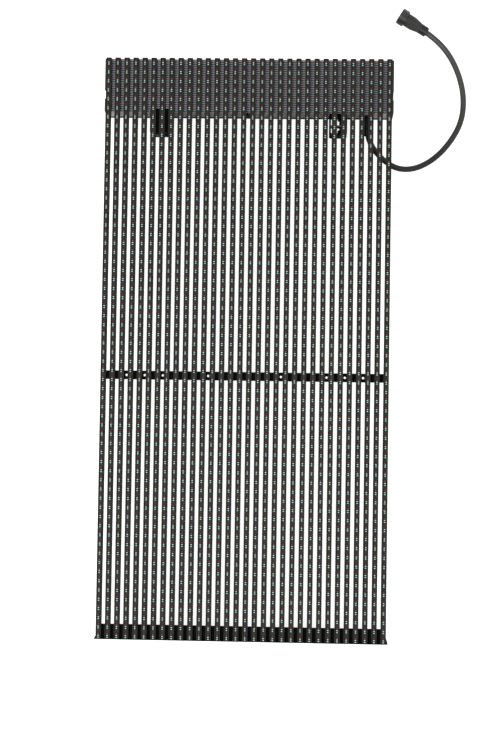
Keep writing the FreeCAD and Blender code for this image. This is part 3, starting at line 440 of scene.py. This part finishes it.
def screw_head(radius, height, recess, rings=7, segments=32):
    """Rings of radius r and angle a: the top is a low dome, less the recess where the
    point is near either arm of a cross. The rim goes straight down to the seat."""
    a = np.linspace(0, 2 * np.pi, segments, endpoint=False)
    r = np.linspace(0.06, 1, rings)[::-1, None] * radius
    across = np.abs(r * np.cos(a))
    along = np.abs(r * np.sin(a))
    arm = np.minimum(across, along) < radius * 0.14
    inside = r < radius * 0.6
    dome = height - height * 0.35 * (r / radius) ** 2 - recess * (arm & inside)
    top = np.stack([dome, r * np.cos(a), r * np.sin(a)], axis=-1)
    seat = np.stack([0 * a, radius * np.cos(a), radius * np.sin(a)], axis=-1)[None]
    return closed_rings(np.concatenate([seat, top]))


def screws(name, places, outward, radius, height, material):
    """Screw heads at many places, all facing the same way."""
    points, faces = screw_head(radius, height, height * 0.6)
    up = (0, 1, 0) if abs(outward[2]) > 0.5 else (0, 0, 1)
    made = piece(name, *repeated(placed(points, (0, 0, 0), outward, up), faces, places), material)
    return made


SCREW_RADIUS = 0.0027
SCREW_HEIGHT = 0.0016
RAIL_SCREW_ROW = -0.486
bar_low, bar_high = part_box("mid_bar")
screw_rows = ((bar_low.y + bar_high.y) / 2, RAIL_SCREW_ROW)
strip_screws = [(x, y, bar_low.z) for x in strip_x for y in screw_rows]
screws("strip_screws", strip_screws, (0, 0, -1), SCREW_RADIUS, SCREW_HEIGHT, steel_finish)
dress(["cover_screws", "end_plate_screws"], steel_finish)
print("strip screws:", len(strip_screws))

# %% [markdown]
# ## Vent plug and gland
# Both are moulded in black nylon. The vent plug has a ring of slots round its rim, so
# that it can be gripped and can breathe, and the gland nut is fluted. Both shapes are a
# turned profile whose radius also waves with the angle.

# %% Vent plug and gland
nylon_finish = finish("black_nylon", (19, 19, 20), (31, 31, 32), grain=700,
                      roughness=(0.4, 0.55), bump=0.15)


def fluted(profile, flutes, depth, segments):
    """A turned profile whose radius loses the depth times the share given for that row
    times half of one plus the cosine of the flutes times the angle, to a high power."""
    profile = np.asarray(profile, float)
    a = np.linspace(0, 2 * np.pi, segments, endpoint=False)
    wave = (0.5 + 0.5 * np.cos(flutes * a)) ** 2
    radius = profile[:, 1:2] - depth * profile[:, 2:3] * wave
    return np.stack([profile[:, :1] + 0 * a, radius * np.cos(a), radius * np.sin(a)], axis=-1)


VENT_LEVEL = 0.040
GLAND_PLACE = 0.205
GLAND_LENGTH = 0.0140
vent_profile = [(-0.0049, 0.0056, 0), (0, 0.0058, 0), (0, 0.0098, 0), (0.0004, 0.0100, 1),
                (0.0036, 0.0100, 1), (0.0046, 0.0094, 0.5), (0.0050, 0.0080, 0),
                (0.0052, 0.0062, 0), (0.0047, 0.0056, 0), (0.0047, 0.0034, 0),
                (0.0053, 0.0028, 0), (0.0055, 0.0010, 0)]
points, faces = closed_rings(fluted(vent_profile, 16, 0.0009, 96))
vent = piece("vent_cap", placed(points, (0, underside, VENT_LEVEL), (0, -1, 0)), faces, nylon_finish)
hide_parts("vent_plug")
gland_profile = [(0.0040, 0.0081, 0), (0.0040, 0.0103, 0.2), (0.0044, 0.0105, 1),
                 (0.0100, 0.0105, 1), (0.0112, 0.0100, 0.8), (0.0124, 0.0088, 0.3),
                 (0.0134, 0.0072, 0), (GLAND_LENGTH, 0.0062, 0), (GLAND_LENGTH, 0.0052, 0),
                 (0.0116, 0.0052, 0), (0.0116, 0.0081, 0)]
points, faces = closed_tube(fluted(gland_profile, 20, 0.0007, 120))
gland = piece("fluted_gland_nut", placed(points, (GLAND_PLACE, underside, stud_level), (0, -1, 0)),
              faces, nylon_finish)
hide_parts("gland_nut")
dress(["cable_gland"], nylon_finish)
print("vent and gland made")

# %% [markdown]
# ## Lead
# The lead is one smooth curve. It leaves the gland, sinks to the floor, runs round
# beside the box and ends in the connector. It is a NURBS spline of order three, which
# bends as evenly as a stiff round cable does. Its control points are the corners of the
# part's route. A rubber jacket is dull and slightly uneven. This one has painted shade:
# it is darker towards low Y and lighter above.

# %% Lead
# The dark base colours are painted shade; the lighter colour mixed in below is nearer the jacket's
# own.
jacket_finish = finish("rubber_jacket", (20, 20, 19), (30, 30, 29), grain=400,
                       roughness=(0.3, 0.4), bump=0.12)
# Painted shade: the jacket stays dark below Y 0.34 and turns lighter up to Y 0.46.
painted_light_ramp(jacket_finish, (66, 65, 63), "Y", 0.34, 0.46, 1.0)
LEAD_RADIUS = 0.005
COUPLING_RADIUS = 0.0140
COUPLING_PLACE = 0.04315
TAIL_RADIUS = 0.0088
TAIL_RUN = 0.012
LEAD_ENTRY = 0.016
REST_GAP = 0.00005
heading = math.radians(149)
rise = math.atan2(COUPLING_RADIUS - TAIL_RADIUS, COUPLING_PLACE)
mouth_way = Vector((math.cos(heading) * math.cos(rise), math.sin(heading) * math.cos(rise),
                    math.sin(rise)))
tail = Vector((0.3085, 0.561, TAIL_RADIUS * math.cos(rise) + REST_GAP))
route = [(0.205, 0.406, 0.029), (0.205, 0.382, 0.029), (0.2125, 0.358, 0.02395),
         (0.2315, 0.3368, 0.01495), (0.258, 0.3202, 0.00735), (0.2895, 0.3202, 0.00505),
         (0.3223, 0.3368, 0.00505), (0.351, 0.3668, 0.00505), (0.3718, 0.4055, 0.00505),
         (0.375, 0.449, 0.00505), (0.365, 0.4908, 0.00505), (0.3462, 0.5272, 0.00515),
         tuple(tail - mouth_way * TAIL_RUN), tuple(tail + mouth_way * LEAD_ENTRY)]
curve = bpy.data.curves.new("lead", "CURVE")
curve.dimensions = "3D"
curve.bevel_depth = LEAD_RADIUS
curve.bevel_resolution = 8
curve.resolution_u = 16
curve.use_fill_caps = True
spline = curve.splines.new("NURBS")
spline.points.add(len(route) - 1)
spline.points.foreach_set("co", np.hstack([route, np.ones((len(route), 1))]).ravel())
spline.order_u = 3
spline.use_endpoint_u = True
curve.materials.append(jacket_finish)
lead = bpy.data.objects.new("lead", curve)
bpy.context.collection.objects.link(lead)
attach(lead, "panel")
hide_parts("lead_cable")
print("lead control points:", len(route))

# %% [markdown]
# ## Strain relief and connector
# A soft sleeve tapers from the gland on to the lead, so that it can't kink there. The
# connector's body is turned again with its flutes, which give the fingers a hold. Its
# other pieces keep their shape from the part and get their finish.

# %% Connector
SLEEVE_LENGTH = 0.020
SLEEVE_OVERLAP = 0.0002
SLEEVE_RIB = 0.0003


def tapered_sleeve(length, start_radius, end_radius, ribs=5):
    """Length s from 0 to 1: the radius falls from start to end, and each rib is a
    shallow dip of a sine's square. It ends in a flat ring that lies on the lead."""
    s = np.linspace(0, 1, ribs * 6 + 1)
    radius = start_radius + (end_radius - start_radius) * s
    radius = radius - SLEEVE_RIB * np.sin(np.pi * ribs * s) ** 2
    outside = np.stack([s * length, radius], axis=1)
    inside = np.array([[length, 0], [0, 0]]) + [0, LEAD_RADIUS - SLEEVE_OVERLAP]
    return closed_tube(turned(np.concatenate([outside, inside]), 40))


points, faces = tapered_sleeve(SLEEVE_LENGTH, 0.0058, 0.0052)
sleeve_start = (GLAND_PLACE, underside - GLAND_LENGTH + SLEEVE_OVERLAP, stud_level)
gland_sleeve = piece("gland_sleeve", placed(points, sleeve_start, (0, -1, 0)), faces,
                     jacket_finish)
connector_finish = finish("connector_moulding", (40, 39, 38), (54, 53, 52), grain=500,
                          roughness=(0.25, 0.35), bump=0.12)
tail_finish = finish("tail_nut_moulding", (24, 24, 23), (34, 34, 33), grain=500,
                     roughness=(0.3, 0.4), bump=0.12)
ring_finish = finish("coupling_moulding", (46, 46, 45), (60, 60, 58), grain=500,
                     roughness=(0.25, 0.35), bump=0.12)
insert_finish = finish("insert_moulding", (120, 120, 117), (138, 138, 134), grain=500,
                       roughness=(0.35, 0.5), bump=0.08)
body_profile = [(0.0160, 0.00515, 0), (0.0040, 0.00515, 0), (0.0040, 0.0068, 0),
                (0.0130, 0.0068, 0), (0.0130, 0.0090, 0), (0.0160, 0.0090, 0),
                (0.0180, 0.00945, 1), (0.0290, 0.0116, 1), (0.0405, 0.0116, 1),
                (0.0420, 0.0116, 0), (0.0430, 0.0116, 0), (0.0430, 0.0106, 0),
                (0.0463, 0.0106, 0), (0.0463, 0.0117, 0), (0.0478, 0.0117, 0),
                (0.0478, 0.0102, 0), (0.0560, 0.0102, 0), (0.0560, 0.0094, 0),
                (0.0475, 0.0094, 0)]
points, faces = closed_rings(fluted(body_profile, 16, 0.0011, 128))
fluted_body = piece("fluted_connector_body", placed(points, tail, mouth_way), faces,
                    connector_finish)
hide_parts("connector_body")
dress(["tail_nut"], tail_finish)
dress(["coupling_nut"], ring_finish)
dress(["contact_insert"], insert_finish)
print("connector dressed")

# %% [markdown]
# ## Floor and light
# The photograph is a cut-out on white. The floor is white paper: it keeps a soft shadow,
# and what the camera sees of it is lifted by a little light of its own. One large soft
# lamp over the camera and an even white sky light the object plainly. The sky lights with
# strength 0.7, and the camera itself sees it at 1, which is white paper again.

# %% Floor and light
floor_mesh = bpy.data.meshes.new("floor")
floor_mesh.from_pydata([(-6, -6, 0), (6, -6, 0), (6, 6, 0), (-6, 6, 0)], [], [[0, 1, 2, 3]])
floor = bpy.data.objects.new("floor", floor_mesh)
floor.location.z = -0.0001
bpy.context.collection.objects.link(floor)
paper = bpy.data.materials.new("white_paper")
paper.use_nodes = True
tree = paper.node_tree
shader = tree.nodes["Principled BSDF"]
shader.inputs["Base Color"].default_value = (0.9, 0.9, 0.9, 1)
shader.inputs["Roughness"].default_value = 1.0
shader.inputs["Specular IOR Level"].default_value = 0.0
shader.inputs["Emission Color"].default_value = (1, 1, 1, 1)
rays = tree.nodes.new("ShaderNodeLightPath")
lift = tree.nodes.new("ShaderNodeMath")
lift.operation = "MULTIPLY"
lift.inputs[1].default_value = 0.85
tree.links.new(rays.outputs["Is Camera Ray"], lift.inputs[0])
tree.links.new(lift.outputs["Value"], shader.inputs["Emission Strength"])
floor_mesh.materials.append(paper)

world = bpy.data.worlds.new("sky")
bpy.context.scene.world = world
world.use_nodes = True
world.node_tree.nodes["Background"].inputs["Color"].default_value = (1, 1, 1, 1)
sky_rays = world.node_tree.nodes.new("ShaderNodeLightPath")
sky_light = world.node_tree.nodes.new("ShaderNodeMath")
sky_light.operation = "MULTIPLY_ADD"
sky_light.inputs[1].default_value = 0.3
sky_light.inputs[2].default_value = 0.7
world.node_tree.links.new(sky_rays.outputs["Is Camera Ray"], sky_light.inputs[0])
world.node_tree.links.new(sky_light.outputs["Value"],
                          world.node_tree.nodes["Background"].inputs["Strength"])
lamp_data = bpy.data.lights.new("soft_lamp", "AREA")
lamp_data.shape = "DISK"
lamp_data.size = 1.0
lamp_data.energy = 24
soft_lamp = bpy.data.objects.new("soft_lamp", lamp_data)
soft_lamp.location = (-0.5, -0.4, 2.6)
soft_lamp.rotation_euler = (Vector((0, 0, 0)) - soft_lamp.location).to_track_quat("-Z", "Y").to_euler()
bpy.context.collection.objects.link(soft_lamp)
bpy.context.scene.view_settings.view_transform = "Standard"
print("lamp:", lamp_data.energy, "W")
